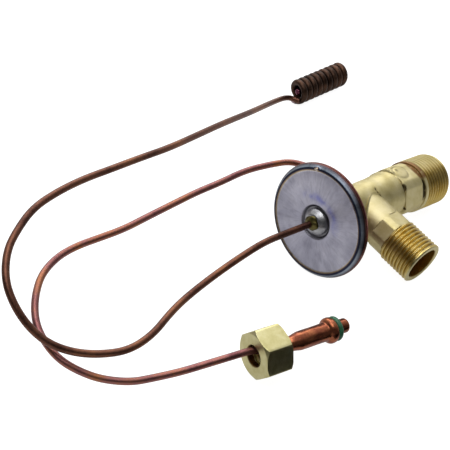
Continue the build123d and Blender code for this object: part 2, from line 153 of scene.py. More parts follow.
def addPiece(name, grids, place, material, body, nodes, sharp=35):
    # each grid is (points, whether its last row joins its first, values for attributes);
    # seams and poles are welded, and edges over the sharp angle stay sharp
    points, faces, marks, count = [], [], {}, 0
    for grid, closeRows, values in grids:
        points.append(grid.reshape(-1, 3))
        faces.append(gridFaces(grid.shape[:2], closeRows, count))
        for key in values:
            marks.setdefault(key, []).append((count, np.broadcast_to(values[key], grid.shape[:2]).ravel()))
        count += len(points[-1])
    mesh = bpy.data.meshes.new(name)
    mesh.from_pydata(toRow(np.vstack(points), place), [], np.vstack(faces))
    for key, spans in marks.items():
        whole = np.zeros(count, np.float32)
        for start, span in spans:
            whole[start:start + len(span)] = span
        mesh.attributes.new(key, "FLOAT", "POINT").data.foreach_set("value", whole)
    work = bmesh.new()
    work.from_mesh(mesh)
    bmesh.ops.remove_doubles(work, verts=work.verts, dist=weldGap)
    bmesh.ops.recalc_face_normals(work, faces=work.faces)
    work.to_mesh(mesh)
    work.free()
    mesh.polygons.foreach_set("use_smooth", np.ones(len(mesh.polygons), bool))
    mesh.set_sharp_from_angle(angle=math.radians(sharp))
    mesh.materials.append(material)
    piece = bpy.data.objects.new(name, mesh)
    bpy.context.scene.collection.objects.link(piece)
    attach(piece, body)
    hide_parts(*nodes)


def routeLine(points, step):
    # the quadratic NURBS curve that a route's points control, from its first to its last,
    # read back as a line cut into length / step even steps
    curve = bpy.data.curves.new("route", "CURVE")
    curve.dimensions = "3D"
    spline = curve.splines.new("NURBS")
    spline.points.add(len(points) - 1)
    weighted = np.hstack([np.array(points, float) / 1000, np.ones((len(points), 1))])
    spline.points.foreach_set("co", weighted.ravel())
    spline.order_u = 3
    spline.use_endpoint_u = True
    spline.resolution_u = 20
    holder = bpy.data.objects.new("route", curve)
    bpy.context.scene.collection.objects.link(holder)
    bpy.context.view_layer.update()
    mesh = bpy.data.meshes.new_from_object(holder.evaluated_get(bpy.context.evaluated_depsgraph_get()))
    line = np.zeros(len(mesh.vertices) * 3)
    mesh.vertices.foreach_get("co", line)
    line = line.reshape(-1, 3) * 1000
    bpy.data.objects.remove(holder)
    bpy.data.curves.remove(curve)
    bpy.data.meshes.remove(mesh)
    lengths = np.append(0, np.cumsum(np.linalg.norm(np.diff(line, axis=0), axis=1)))
    at = np.linspace(0, lengths[-1], int(lengths[-1] / step))
    return np.stack([np.interp(at, lengths, line[:, k]) for k in range(3)], -1)


def tubeGrid(line, radius, columns):
    # circles carried along a line, centre + radius (cos t side + sin t across),
    # each turned as little as possible from the one before
    offRoute = (0.2, 0.1, 1.0)  # a direction that no line here starts in
    tangent = np.gradient(line, axis=0)
    tangent /= np.linalg.norm(tangent, axis=1)[:, None]
    side = np.cross(tangent, offRoute)
    for k in range(1, len(line)):
        side[k] = side[k - 1] - np.dot(side[k - 1], tangent[k]) * tangent[k]
        side[k] /= np.linalg.norm(side[k])
    side[0] /= np.linalg.norm(side[0])
    t = np.linspace(0, 2 * np.pi, columns, endpoint=False)[None, :, None]
    radius = np.broadcast_to(radius, len(line))[:, None, None]
    across = np.cross(tangent, side)
    return line[:, None] + radius * (np.cos(t) * side[:, None] + np.sin(t) * across[:, None])


def capped(grid):  # both ends drawn together at their middles
    ends = [np.broadcast_to(row.mean(0), row.shape)[None] for row in (grid[0], grid[-1])]
    return np.concatenate([ends[0], grid, ends[1]])


# Materials. Noise scales are per metre, so 1000 / scale is the size of a cloud in mm.
def linear(code):
    # sRGB hex to linear: c / 12.92 for the darkest, else ((c + 0.055) / 1.055) to the power 2.4
    parts = [int(code[k:k + 2], 16) / 255 for k in (1, 3, 5)]
    return [c / 12.92 if c <= 0.04045 else ((c + 0.055) / 1.055) ** 2.4 for c in parts] + [1.0]


def addNode(tree, kind, settings=None, links=None, stops=None):
    # one shader node: settings fill its sockets or properties, links join its sockets, stops fill its ramp;
    # Mix has its share in socket 0, its colours in 6 and 7 and out of 2, its numbers in 2 and 3 and out of 0
    new = tree.nodes.new("ShaderNode" + kind)
    for key, value in (settings or {}).items():
        if isinstance(key, int) or key in new.inputs:
            new.inputs[key].default_value = value
        else:
            setattr(new, key, value)
    for key, source in (links or {}).items():
        tree.links.new(source, new.inputs[key])
    if stops:
        ramp = new.color_ramp.elements
        while len(ramp) < len(stops):
            ramp.new(0.5)
        for element, (at, code) in zip(ramp, stops):
            element.position = at
            element.color = linear(code) if isinstance(code, str) else (code, code, code, 1)
    return new


def newMaterial(name):
    # a material with no nodes, its tree, and the socket that gives the place on the object in metres
    material = bpy.data.materials.new(name)
    material.use_nodes = True
    material.node_tree.nodes.clear()
    tree = material.node_tree
    place = addNode(tree, "TexCoord").outputs["Object"]
    return material, tree, place


def carried(tree, name):  # the value that a piece's points carry under a name
    return addNode(tree, "Attribute", {"attribute_name": name}).outputs["Fac"]


def finishMaterial(tree, colour, roughness, height, depth, metallic=1.0):
    # the surface rises by height, a 0 to 1 pattern, times depth in metres
    bump = addNode(tree, "Bump", {"Strength": 1.0, "Distance": depth}, {"Height": height})
    shader = addNode(tree, "BsdfPrincipled", {"Metallic": metallic},
                     {"Base Color": colour, "Roughness": roughness, "Normal": bump.outputs["Normal"]})
    addNode(tree, "OutputMaterial", {}, {"Surface": shader.outputs["BSDF"]})


def valveBrass():
    # tumbled satin forging, pale olive gold; "cut" turns it into machined thread, "rootShade" browns its
    # roots as painted shade,
    # "paintedShade" darkens corners and grooves as painted shade, "stain" is the brown heat stain, "bore" the
    # reamed passages in a darker gold that is partly painted shade
    material, tree, place = newMaterial("forgedAndCutBrass")
    # 6 mm clouds, and 0.4 mm pebbles, drawn coarser than real
    cloud = addNode(tree, "TexNoise", {"Scale": 170.0, "Detail": 5.0, "Roughness": 0.6}, {"Vector": place})
    grain = addNode(tree, "TexNoise", {"Scale": 2400.0, "Detail": 3.0}, {"Vector": place})
    forged = addNode(tree, "ValToRGB", {}, {"Fac": cloud.outputs["Fac"]},
                     [(0.3, "#B9AB74"), (0.5, "#CCC08F"), (0.7, "#DACFA6")])
    cutTone = addNode(tree, "ValToRGB", {}, {"Fac": cloud.outputs["Fac"]},
                      [(0.3, "#C4A858"), (0.7, "#DCC888")])
    rootShade = carried(tree, "rootShade")
    # the thread's roots go dark brown: painted shade
    thread = addNode(tree, "Mix", {"data_type": "RGBA", 7: linear("#54360E")},
                     {0: rootShade, 6: cutTone.outputs[0]})
    cut = carried(tree, "cut")
    skin = addNode(tree, "Mix", {"data_type": "RGBA"},
                   {0: cut, 6: forged.outputs[0], 7: thread.outputs[2]})
    # inside the passages the colour goes to a darker gold: partly the reamed finish, partly painted shade
    bore = carried(tree, "bore")
    inner = addNode(tree, "Mix", {"data_type": "RGBA", 7: linear("#A87C30")},
                    {0: bore, 6: skin.outputs[2]})
    patch = addNode(tree, "TexNoise", {"Scale": 520.0, "Detail": 5.0}, {"Vector": place})  # 2 mm blotches
    colour = inner.outputs[2]
    # a brown heat stain, then dark brown painted shade in the corners and grooves, both broken into 2 mm
    # blotches
    for name, tone, low, high in (("stain", "#86603A", 0.16, 0.46), ("paintedShade", "#36280F", 0.03, 0.40)):
        mark = carried(tree, name)
        blotch = addNode(tree, "Math", {"operation": "MULTIPLY"}, {0: mark, 1: patch.outputs["Fac"]})
        share = addNode(tree, "MapRange", {"From Min": low, "From Max": high, "To Max": 0.92},
                        {"Value": blotch.outputs[0]})
        marked = addNode(tree, "Mix", {"data_type": "RGBA", 7: linear(tone)},
                         {0: share.outputs[0], 6: colour})
        colour = marked.outputs[2]
    satin = addNode(tree, "MapRange", {"To Min": 0.42, "To Max": 0.60}, {"Value": cloud.outputs["Fac"]})
    rough = addNode(tree, "Mix", {"data_type": "FLOAT", 3: 0.34}, {0: cut, 2: satin.outputs["Result"]})
    forgedShare = addNode(tree, "Math", {"operation": "SUBTRACT", 0: 1.0, "use_clamp": True}, {1: cut})
    pebbles = addNode(tree, "Math", {"operation": "MULTIPLY"},
                      {0: grain.outputs["Fac"], 1: forgedShare.outputs[0]})
    finishMaterial(tree, colour, rough.outputs[0], pebbles.outputs[0], 0.00002)
    return material


def boredBrass():
    # bored and reamed brass: smooth, darker gold inside the ports, with 3 mm clouds; the darker gold is
    # partly painted shade
    material, tree, place = newMaterial("boredBrass")
    cloud = addNode(tree, "TexNoise", {"Scale": 300.0, "Detail": 4.0}, {"Vector": place})
    colour = addNode(tree, "ValToRGB", {}, {"Fac": cloud.outputs["Fac"]},
                     [(0.3, "#A87E2C"), (0.7, "#C69C44")])
    rough = addNode(tree, "MapRange", {"To Min": 0.22, "To Max": 0.34}, {"Value": cloud.outputs["Fac"]})
    finishMaterial(tree, colour.outputs["Color"], rough.outputs["Result"], cloud.outputs["Fac"], 0.00001)
    return material


def hexagonBrass():
    # extruded hexagon brass, cleaned: pale olive gold with 4 mm clouds and fine specks, drawn 0.7 mm,
    # coarser than real; "hole" browns the inside of the hole round the tube, painted shade
    material, tree, place = newMaterial("extrudedHexagonBrass")
    cloud = addNode(tree, "TexNoise", {"Scale": 240.0, "Detail": 5.0, "Roughness": 0.65}, {"Vector": place})
    speck = addNode(tree, "TexNoise", {"Scale": 1500.0, "Detail": 2.0}, {"Vector": place})
    colour = addNode(tree, "ValToRGB", {}, {"Fac": cloud.outputs["Fac"]},
                     [(0.3, "#BBB27A"), (0.55, "#CFC794"), (0.75, "#DCD6AE")])
    rough = addNode(tree, "MapRange", {"To Min": 0.30, "To Max": 0.40}, {"Value": speck.outputs["Fac"]})
    # the inside of the hole round the tube goes brown: painted shade
    hole = carried(tree, "hole")
    holeShaded = addNode(tree, "Mix", {"data_type": "RGBA", 7: linear("#6E4C24")},
                     {0: hole, 6: colour.outputs[0]})
    finishMaterial(tree, holeShaded.outputs[2], rough.outputs["Result"], speck.outputs["Fac"], 0.000006)
    return material


def oxidisedCopper(name, dark, middle, light, roughLow, roughHigh, scale=90.0):
    # annealed copper tube with a brown oxide film: patchy along the tube, with brighter rubbed places
    # 1000 / scale mm long, and drawn marks of 0.5 mm, coarser than real
    material, tree, place = newMaterial(name)
    patch = addNode(tree, "TexNoise", {"Scale": scale, "Detail": 6.0, "Roughness": 0.6}, {"Vector": place})
    fine = addNode(tree, "TexNoise", {"Scale": 1800.0, "Detail": 3.0}, {"Vector": place})
    both = addNode(tree, "Mix", {"data_type": "FLOAT", 0: 0.2},
                   {2: patch.outputs["Fac"], 3: fine.outputs["Fac"]})
    colour = addNode(tree, "ValToRGB", {}, {"Fac": both.outputs[0]},
                     [(0.36, dark), (0.5, middle), (0.64, light)])
    rough = addNode(tree, "MapRange", {"To Min": roughLow, "To Max": roughHigh},
                    {"Value": fine.outputs["Fac"]})
    finishMaterial(tree, colour.outputs["Color"], rough.outputs["Result"], fine.outputs["Fac"], 0.00001)
    return material


def tintedSteel():
    # welded stainless cover: grey violet with heat tints in rings, radial wipe marks and grey blooms;
    # "ring" is the share of the radius, "turn" the share of a turn and "tint" the blue arc
    material, tree, place = newMaterial("heatTintedSteel")
    ring = carried(tree, "ring")
    turn = carried(tree, "turn")
    tint = carried(tree, "tint")
    # 5 mm clouds
    cloud = addNode(tree, "TexNoise", {"Scale": 210.0, "Detail": 6.0, "Roughness": 0.62}, {"Vector": place})
    face = addNode(tree, "ValToRGB", {}, {"Fac": cloud.outputs["Fac"]},
                   [(0.34, "#A8A7B8"), (0.5, "#CDCCDC"), (0.66, "#E4E3F0")])
    bands = addNode(tree, "ValToRGB", {}, {"Fac": ring},
                    [(0.0, "#9A9898"), (0.27, "#8A898E"), (0.32, "#B8B6C4"), (0.862, "#B8B6C4"),
                     (0.874, "#DAD6D8"), (0.888, "#C0A880"), (0.902, "#564A50"), (0.916, "#2A2E44"),
                     (0.934, "#363C50"), (0.948, "#A4B0BE"), (0.972, "#7C7E88"), (0.988, "#4C3A3C"),
                     (1.0, "#9A6254")])
    mixed = addNode(tree, "Mix", {"data_type": "RGBA", 0: 0.5},
                    {6: face.outputs["Color"], 7: bands.outputs["Color"]})
    edge = addNode(tree, "ValToRGB", {}, {"Fac": ring},
                   [(0.27, 1.0), (0.34, 0.0), (0.86, 0.0), (0.88, 1.0)])
    base = addNode(tree, "Mix", {"data_type": "RGBA"},
                   {0: edge.outputs["Color"], 6: mixed.outputs[2], 7: bands.outputs["Color"]})
    # 3 mm breaks in the tint
    blotch = addNode(tree, "TexNoise", {"Scale": 330.0, "Detail": 4.0}, {"Vector": place})
    broken = addNode(tree, "MapRange", {"From Min": 0.36, "From Max": 0.62, "To Min": 0.15},
                     {"Value": blotch.outputs["Fac"]})
    amount = addNode(tree, "Math", {"operation": "MULTIPLY"}, {0: tint, 1: broken.outputs[0]})
    blue = addNode(tree, "Mix", {"data_type": "RGBA", 7: linear("#9294C8")},
                   {0: amount.outputs[0], 6: base.outputs[2]})
    # wipe marks, 60 round the cover and 3 along its radius
    spokes = addNode(tree, "CombineXYZ", {}, {"X": turn, "Y": ring})
    stretch = addNode(tree, "Mapping", {"Scale": (60.0, 3.0, 1.0)}, {"Vector": spokes.outputs["Vector"]})
    scratch = addNode(tree, "TexNoise", {"Scale": 1.0, "Detail": 4.0}, {"Vector": stretch.outputs["Vector"]})
    both = addNode(tree, "Mix", {"data_type": "FLOAT", 0: 0.5},
                   {2: scratch.outputs["Fac"], 3: cloud.outputs["Fac"]})
    wiped = addNode(tree, "ValToRGB", {}, {"Fac": scratch.outputs["Fac"]},
                    [(0.32, "#B4B4B4"), (0.48, "#FFFFFF"), (0.68, "#D8D8D8")])
    worn = addNode(tree, "Mix", {"data_type": "RGBA", "blend_type": "MULTIPLY", 0: 0.4},
                   {6: blue.outputs[2], 7: wiped.outputs[0]})
    # 16 mm grey blooms
    bloom = addNode(tree, "TexNoise", {"Scale": 62.0, "Detail": 3.0}, {"Vector": place})
    dull = addNode(tree, "ValToRGB", {}, {"Fac": bloom.outputs["Fac"]}, [(0.36, "#CCCCD0"), (0.6, "#FFFFFF")])
    clouded = addNode(tree, "Mix", {"data_type": "RGBA", "blend_type": "MULTIPLY", 0: 0.8},
                      {6: worn.outputs[2], 7: dull.outputs[0]})
    rough = addNode(tree, "MapRange", {"From Min": 0.3, "From Max": 0.7, "To Min": 0.26, "To Max": 0.5},
                    {"Value": both.outputs[0]})
    finishMaterial(tree, clouded.outputs[2], rough.outputs["Result"], both.outputs[0], 0.00006)
    return material


def plainMetal(name, light, dark, roughness):
    # turned or drawn small part: even colour with slight 2 mm clouds
    material, tree, place = newMaterial(name)
    cloud = addNode(tree, "TexNoise", {"Scale": 500.0, "Detail": 4.0}, {"Vector": place})
    colour = addNode(tree, "ValToRGB", {}, {"Fac": cloud.outputs["Fac"]}, [(0.35, dark), (0.65, light)])
    rough = addNode(tree, "MapRange", {"To Min": roughness - 0.06, "To Max": roughness + 0.06},
                    {"Value": cloud.outputs["Fac"]})
    finishMaterial(tree, colour.outputs["Color"], rough.outputs["Result"], cloud.outputs["Fac"], 0.00002)
    return material


def nitrileRubber(name, light, dark):
    # moulded nitrile rubber: even, slightly oily, with faint 1 mm clouds
    material, tree, place = newMaterial(name)
    cloud = addNode(tree, "TexNoise", {"Scale": 900.0, "Detail": 3.0}, {"Vector": place})
    colour = addNode(tree, "ValToRGB", {}, {"Fac": cloud.outputs["Fac"]}, [(0.35, dark), (0.65, light)])
    rough = addNode(tree, "MapRange", {"To Min": 0.34, "To Max": 0.48}, {"Value": cloud.outputs["Fac"]})
    finishMaterial(tree, colour.outputs["Color"], rough.outputs["Result"], cloud.outputs["Fac"], 0.00002, 0.0)
    return material


forgedBrass = valveBrass()
boreBrass = boredBrass()
nutBrass = hexagonBrass()
capillaryCopper = oxidisedCopper("brownOxideCopper", "#4C322A", "#704C3E", "#855A42", 0.36, 0.50)
equaliserCopper = oxidisedCopper("pinkOxideCopper", "#74494C", "#946460", "#A66E4C", 0.34, 0.48)
fittingCopper = oxidisedCopper("swagedCopper", "#6C3A2A", "#985840", "#B4704C", 0.25, 0.38, 260.0)
coilCopper = oxidisedCopper("agedCoilCopper", "#2B1D16", "#44332A", "#5C4234", 0.38, 0.54, 120.0)
tailCopper = oxidisedCopper("plumOxideCopper", "#5A3040", "#7A4456", "#8E5A68", 0.3, 0.42, 200.0)
coverSteel = tintedSteel()
lowerSteel = plainMetal("copperFlashedSteel", "#8C544C", "#5A3430", 0.32)
bossSteel = plainMetal("paleTurnedSteel", "#B6B6B8", "#8E8E92", 0.36)
brightSteel = plainMetal("groundSpringSteel", "#B8B8B8", "#98989A", 0.25)
brazeGold = plainMetal("brazeFiller", "#736A40", "#403A1C", 0.38)
brazeSilver = plainMetal("silverSolder", "#B8A0A8", "#8E727C", 0.3)
meshSteel = plainMetal("wovenMeshSteel", "#A09C94", "#6E6A62", 0.4)
greenRubber = nitrileRubber("greenNitrileRubber", "#2F7350", "#235A3E")
blackRubber = nitrileRubber("blackNitrileRubber", "#2A2A2A", "#1C1C1C")
print("materials made")

# the finish of each node of the frame
nodeFinish = {
    "diaphragm": brightSteel, "diaphragm_pad": brightSteel, "push_rod": brightSteel,
    "push_rod_seal": blackRubber, "seal_retainer": boreBrass, "orifice_seat": brightSteel,
    "valve_ball": brightSteel, "ball_carrier": boreBrass, "adjusting_nut": boreBrass,
    "strainer_ring": boreBrass, "strainer_screen": meshSteel, "lower_cover": lowerSteel,
    "capillary_boss": bossSteel, "capillary_braze": brazeGold, "equaliser_braze": brazeSilver,
    "superheat_spring": brightSteel, "upper_cover": coverSteel, "valve_body": forgedBrass,
    "sensing_bulb": coilCopper, "bulb_tail": tailCopper, "bulb_collar": brazeSilver,
    "equaliser_fitting": fittingCopper, "equaliser_oring": greenRubber, "equaliser_nut": nutBrass,
    "capillary_tube": capillaryCopper, "equaliser_tube": equaliserCopper,
}
for nodeName, finish in nodeFinish.items():
    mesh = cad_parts[nodeName].data
    mesh.materials.clear()
    mesh.materials.append(finish)


# Valve body: the barrel runs along x from the power element to the outlet, and the branch is the inlet.
# Angles are degrees, 0 on the side of the branch and 90 on top. A span is a window's rise and fall.
threadDepth = 0.6134  # of the pitch, for a 60 degree thread
seam = 0.02  # keeps the rows on both sides of a sharp edge apart

barrelSize = {
    "front": 2.9, "spigot": 6.6, "shoulder": 8.42, "neck": 7.75, "neckEnd": 21.0, "barrel": 7.95,
    "barrelStart": 24.6, "taperStart": 28.3, "taperEnd": 36.9, "barrelEnd": 8.6, "flats": 17.6,
    "corner": 9.416, "hexStart": 37.0, "hexFoot": 8.45, "frontSlope": 3.5, "backSlope": 4, "hexEnd": 47.4,
    "relief": 8.7, "reliefEnd": 48.6, "collar": 9.5, "threadStart": 50.2, "major": 9.525, "pitch": 1.5875,
    "end": 63.8, "chamfer": 0.85, "lip": 0.35, "mouth": 7.3, "mouthEnd": 57, "bore": 6.2, "boreEnd": 55.9,
    "seat": 4.22, "seatEnd": 33.2, "seatStart": 30, "chamber": 3.2, "rod": 1.55, "rodEnd": 17,
    "gland": 3.0, "glandEnd": 7.9, "columns": 132, "rowStep": 0.28, "threadStep": 0.08,
}
forging = {
    "slitAt": 24.5, "slitWidth": 0.36, "slitDepth": 0.6, "slitAngles": ((48, 54), (80, 86)),
    "flashWidth": 0.28, "flashHeight": 0.10, "flashSpan": ((24, 25), (35, 37)),
    "padAt": (41.0, 98), "padSize": (3.3, 22), "padHeight": 0.26,
    "moatOuter": (3.9, 26), "moatInner": (3.2, 21), "moatDepth": 0.12,
    "dentAt": (39.9, 104), "dentSize": (1.0, 7), "dentSlant": 0.03, "dentDepth": 0.12,
    "swellHeight": 0.05, "swellSpan": ((24, 27), (36, 37)),
}
# where the heat stain, the painted shade, the painted highlight and the cut thread lie on the barrel
stainAndPaintedLight = {
    "cornerRise": (36.6, 37.0), "cornerFrom": 36.8, "cornerLength": 1.5, "cornerHalf": 13,
    "cornerAngles": ((2, 6), (64, 68)),
    "grooveSpan": ((47.3, 47.6), (48.5, 48.8)), "grooveAngles": ((4, 22), (52, 72)),
    "stainSpan": ((45.6, 47.4), (50.2, 51.2)), "stainAngles": ((52, 72), (200, 230)),
    "rootShadeAngles": ((0, 18), (62, 85)), "highlightAngles": ((70, 95), (150, 190)), "cutRise": (50.0, 50.4),
}


def barrelSkin():
    # outside and passages of the barrel as one closed profile of (x, radius), turned and then shaped
    b, f, w = barrelSize, forging, stainAndPaintedLight
    front = softCorners(
        [(b["front"], b["gland"]), (b["front"], b["spigot"]), (b["shoulder"], b["spigot"]),
         (b["shoulder"], b["neck"]), (b["neckEnd"], b["neck"]), (b["barrelStart"], b["barrel"]),
         (b["taperStart"], b["barrel"]), (b["taperEnd"], b["barrelEnd"]),
         (b["hexEnd"], b["barrelEnd"] + 0.05), (b["hexEnd"] + 0.1, b["relief"]),
         (b["reliefEnd"], b["relief"]), (b["reliefEnd"] + 0.1, b["collar"]),
         (b["threadStart"], b["collar"])], 0.3)
    front = denser(front, b["rowStep"])
    thread = denser([(b["threadStart"] + seam, b["major"]), (b["end"] - b["chamfer"], b["major"]),
                     (b["end"], b["major"] - b["chamfer"])], b["threadStep"])
    inside = softCorners(
        [(b["end"], b["major"] - b["chamfer"] - seam), (b["end"], b["mouth"] + b["lip"]),
         (b["end"] - b["lip"], b["mouth"]), (b["mouthEnd"], b["mouth"]), (b["boreEnd"], b["bore"]),
         (b["seatEnd"], b["bore"]), (b["seatEnd"], b["seat"]), (b["seatStart"], b["seat"]),
         (b["seatStart"], b["chamber"]), (b["rodEnd"], b["chamber"]), (b["rodEnd"], b["rod"]),
         (b["glandEnd"], b["rod"]), (b["glandEnd"], b["gland"]), (b["front"] + 0.05, b["gland"])], 0.15)
    x, r, t = around(np.vstack([front, thread, inside]), b["columns"])
    outside = np.arange(len(x))[:, None] < len(front) + len(thread)
    angle = (np.degrees(t) + 90) % 360 - 90

    # hexagon, with its corners turned down to a cone at each end
    cones = np.minimum(b["hexFoot"] + b["frontSlope"] * (x - b["hexStart"]),
                       b["relief"] + b["backSlope"] * (b["hexEnd"] - x))
    sides = np.minimum(hexagon(t, b["flats"], b["corner"]), cones)
    onHexagon = outside & (x > b["hexStart"] - 0.5) & (x < b["hexEnd"])
    r = np.where(onHexagon, np.maximum(r, sides), r)

    # cold shut left by the forging dies, on the side of the branch
    slit = np.exp(-((x - f["slitAt"]) / f["slitWidth"]) ** 2) * window(angle, *f["slitAngles"])
    # flash line of the dies, in the plane of both axes
    flash = np.exp(-((r * np.sin(t)) / f["flashWidth"]) ** 2) * window(x, *f["flashSpan"])
    # worn oval pad in a shallow moat on the top of the hexagon, with one slanting dent near its edge
    pad = mound(x, t, f["padAt"], f["padSize"], 5.0)
    moat = mound(x, t, f["padAt"], f["moatOuter"], 6.0) - mound(x, t, f["padAt"], f["moatInner"], 6.0)
    slanted = x + f["dentSlant"] * (angle - f["dentAt"][1])
    dent = mound(slanted, t, f["dentAt"], f["dentSize"], 1.5)
    # uneven skin of the forging
    waves = np.sin(x * 0.9 + 2 * t) * np.sin(3 * t - x * 0.35)
    swell = f["swellHeight"] * waves * window(x, *f["swellSpan"])

    # thread that fades out before the end, and the chamfer there
    fade = 1 - ease(b["end"] - 0.9, b["end"] - 0.5, x)
    share = threadShare(x, t, b["pitch"]) * (x > b["threadStart"]) * outside * fade
    raised = f["flashHeight"] * flash + f["padHeight"] * pad + swell
    sunk = f["moatDepth"] * moat + f["dentDepth"] * dent + f["slitDepth"] * slit
    r = r + np.where(outside, raised - sunk, 0) - threadDepth * b["pitch"] * share
    bevel = b["major"] - (x - b["end"] + b["chamfer"])
    r = np.where(outside & (x > b["end"] - b["chamfer"]), np.minimum(r, bevel), r)

    # painted shade in the corners of the hexagon's shoulder, in the groove, in the slit and round the pad,
    # heavier on its upper side
    fromCorner = np.abs((angle + 30) % 60 - 30)
    wedge = w["cornerLength"] * (1 - fromCorner / w["cornerHalf"])
    shoulder = ease(*w["cornerRise"], x) * (1 - ease(0.6 * wedge, wedge + 0.1, x - w["cornerFrom"]))
    shoulder = shoulder * (wedge > 0) * window(angle, *w["cornerAngles"])
    groove = window(x, *w["grooveSpan"]) * window(angle, *w["grooveAngles"])
    padX, padAngle = f["padAt"]
    upper = ease(-60, 20, angle - padAngle - 14 * (x - padX)) * 0.5 + 0.5 * (angle > padAngle)
    paintedShade = np.clip(0.9 * shoulder + groove + 1.8 * slit + 0.62 * moat * upper + 0.4 * dent, 0, 1)
    # heat stain beside the collar, painted shade in the thread's roots, heavier on one side, and where the
    # forging turns into cut metal
    stain = window(x, *w["stainSpan"]) * window(angle, *w["stainAngles"])
    rootShade = ease(0.25, 0.95, share) * (0.25 + 0.6 * window(angle, *w["rootShadeAngles"]))
    # the top and upper far side of the thread keep the paler forged colour without dark roots: painted
    # highlight
    paintedHighlightTop = 1 - 0.8 * window(angle, *w["highlightAngles"])
    cut = window(x, w["cutRise"], (b["end"] - 0.3, b["end"] - 0.1)) * outside * paintedHighlightTop
    # the passages, drawn darker gold, partly as painted shade
    bore = (1.0 - outside) * (x < b["end"] - 0.4)
    marks = {"rootShade": rootShade, "stain": stain * outside, "paintedShade": paintedShade * outside, "cut": cut, "bore": bore}
    return swept(x, r, t), marks


branchSize = {
    "radius": 7.3, "fillet": 1.5, "leastFillet": 0.35, "sink": 0.06, "start": 4.5, "flats": 14.0,
    "corner": 7.49, "hexStart": 12.2, "threadStart": 18.0, "major": 7.9375, "pitch": 1.411, "end": 30.9,
    "chamfer": 0.4, "lip": 0.35, "lipRise": 0.3, "mouth": 6.0, "mouthEnd": 24.9, "bore": 4.9,
    "boreEnd": 23.7, "floor": 8.6, "columns": 120, "threadStep": 0.08,
}


def branchSkin():
    # the foot lies on the barrel, where x squared + (r sin t) squared = the barrel's radius squared,
    # and a quarter of a circle, the fillet, leads from it to the branch's own radius
    b = branchSize
    t = np.linspace(0, 2 * np.pi, b["columns"], endpoint=False)[None, :]
    fillet = b["leastFillet"] + b["fillet"] * np.cos(t) ** 2
    foot = np.sqrt(barrelSize["barrel"] ** 2 - ((b["radius"] + fillet) * np.sin(t)) ** 2) - b["sink"]
    q = np.linspace(0, np.pi / 2, 9)[:, None]
    rootX = np.vstack([b["start"] + 0 * t, foot - 1, foot + fillet * (1 - np.cos(q))])
    rootR = np.vstack([0 * t, b["radius"] * 0.88 + 0 * t, b["radius"] + fillet * (1 - np.sin(q))])
    w = np.linspace(0, 1, 20)[1:, None]
    neckX = rootX[-1:] * (1 - w) + b["hexStart"] * w
    neckR = b["radius"] + 0 * neckX
    outside = denser([(b["hexStart"] + 0.12, b["radius"]), (b["threadStart"], b["radius"]),
                      (b["threadStart"] + seam, b["major"]), (b["end"] - b["chamfer"], b["major"]),
                      (b["end"], b["major"] - b["chamfer"])], b["threadStep"])
    inside = softCorners([(b["end"], b["major"] - b["chamfer"] - seam), (b["end"], b["mouth"] + b["lipRise"]),
                          (b["end"] - b["lip"], b["mouth"]), (b["mouthEnd"], b["mouth"]),
                          (b["boreEnd"], b["bore"]), (b["floor"], b["bore"]), (b["floor"], 0)], 0.12)

    # hexagon, then the thread between its lead-in cone and the chamfer
    x1, r1, t1 = around(outside, b["columns"])
    onHexagon = x1 < b["threadStart"] + seam / 2
    r1 = np.where(onHexagon, hexagon(t1, b["flats"], b["corner"]), r1)
    share = threadShare(x1, t1, b["pitch"]) * ~onHexagon * (1 - ease(b["end"] - 0.9, b["end"] - 0.45, x1))
    leadIn = b["major"] - 0.86 + 1.6 * (x1 - b["threadStart"])
    r1 = np.where(onHexagon, r1, np.minimum(r1 - threadDepth * b["pitch"] * share, leadIn))
    r1 = np.minimum(r1, b["major"] - np.maximum(0, x1 - b["end"] + b["chamfer"]))
    x2, r2 = around(inside, b["columns"])[:2]
    x = np.vstack([rootX, neckX, x1, x2])
    r = np.vstack([rootR, neckR, r1, r2])
    turns = t + 0 * x
    within = np.arange(len(x))[:, None] >= len(x) - len(x2)

    ridge = np.exp(-((r * np.sin(turns)) / forging["flashWidth"]) ** 2)
    flash = ridge * (x > foot + 0.3) * (1 - ease(11, 12, x)) * ~within
    # the branch thread's roots go dark brown, more on one side: painted shade
    side = window(np.degrees(t1) - 180, (-110, -70), (-10, 30))
    rootShade = np.vstack([0 * rootX, 0 * neckX, ease(0.25, 0.95, share) * (0.3 + 0.45 * side), 0 * x2])
    cut = window(x, (17.9, 18.2), (b["end"] - 0.35, b["end"] - 0.15)) * ~within
    # the branch's passages, drawn darker gold, partly as painted shade
    bore = within * (x < b["end"] - 0.3) * 1.0
    return swept(x, r + forging["flashHeight"] * flash, turns), {"rootShade": rootShade, "cut": cut, "bore": bore}


barrelPoints, barrelMarks = barrelSkin()
branchPoints, branchMarks = branchSkin()
branchPoints = (toRow(branchPoints, branchPlace) * 1000 - valvePlace[0]) @ valvePlace[1].T
addPiece("valveBody", [(barrelPoints, True, barrelMarks), (branchPoints, False, branchMarks)], valvePlace,
         forgedBrass, "valve", ["valve_body"], 40)
print("valve body made")


# Power element, along the barrel's own x.
def addTurned(name, settings, place, material, body, node, shape=None, marks=None):
    # a closed profile of (x, radius), its corners softened, turned about x and shaped by a function
    outline = softCorners(settings["profile"], settings["reach"], True)
    rows = denser(np.vstack([outline, outline[:1]]), settings["step"])[:-1]
    x, r, t = around(rows, settings["columns"], settings.get("turn", 0.0))
    if shape:
        x, r = shape(x, r, t)
    values = marks(x, r, t) if marks else {}
    addPiece(name, [(swept(x, r, t), True, values)], place, material, body, [node])


